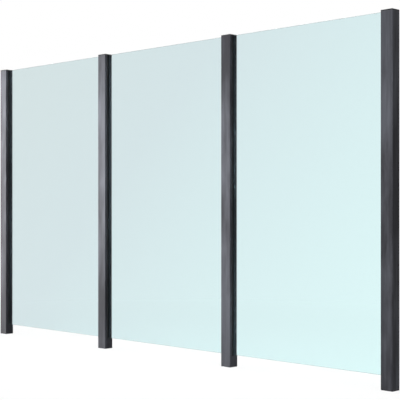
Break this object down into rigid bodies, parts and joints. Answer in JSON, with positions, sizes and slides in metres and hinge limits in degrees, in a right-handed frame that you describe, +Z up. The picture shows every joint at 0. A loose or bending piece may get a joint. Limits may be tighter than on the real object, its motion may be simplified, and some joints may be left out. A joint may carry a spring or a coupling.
{
  "type": "glass fence",
  "caption": "Row of clear glass panes held at both edges in slotted dark metal posts, with gaskets, caps and flush foot plates.",
  "frame": {"origin": "centre of the flat underside of the foot plate of post_1, the left end post seen from the front", "axes": "+X along the fence to the other posts, +Y to the back, +Z up"},
  "size_m": [3.37, 0.06, 1.875],
  "materials": {
    "post_finish": "anthracite anodised, satin",
    "cap_finish": "black powder coat, matt",
    "foot_finish": "anthracite anodised, satin",
    "pane": "clear toughened float glass, polished",
    "gasket": "black, matt"
  },
  "bodies": {
    "root": {"post_1": "post_finish", "post_1_cap": "cap_finish", "post_1_foot": "foot_finish", "post_2": "post_finish", "post_2_cap": "cap_finish", "post_2_foot": "foot_finish", "post_3": "post_finish", "post_3_cap": "cap_finish", "post_3_foot": "foot_finish", "post_4": "post_finish", "post_4_cap": "cap_finish", "post_4_foot": "foot_finish", "glass_1": "pane", "infill_1_left": "post_finish", "setting_pad_1_left": "gasket", "gasket_1_left_front": "gasket", "gasket_1_left_back": "gasket", "infill_1_right": "post_finish", "setting_pad_1_right": "gasket", "gasket_1_right_front": "gasket", "gasket_1_right_back": "gasket", "glass_2": "pane", "infill_2_left": "post_finish", "setting_pad_2_left": "gasket", "gasket_2_left_front": "gasket", "gasket_2_left_back": "gasket", "infill_2_right": "post_finish", "setting_pad_2_right": "gasket", "gasket_2_right_front": "gasket", "gasket_2_right_back": "gasket", "glass_3": "pane", "infill_3_left": "post_finish", "setting_pad_3_left": "gasket", "gasket_3_left_front": "gasket", "gasket_3_left_back": "gasket", "infill_3_right": "post_finish", "setting_pad_3_right": "gasket", "gasket_3_right_front": "gasket", "gasket_3_right_back": "gasket"}
  },
  "joints": []
}
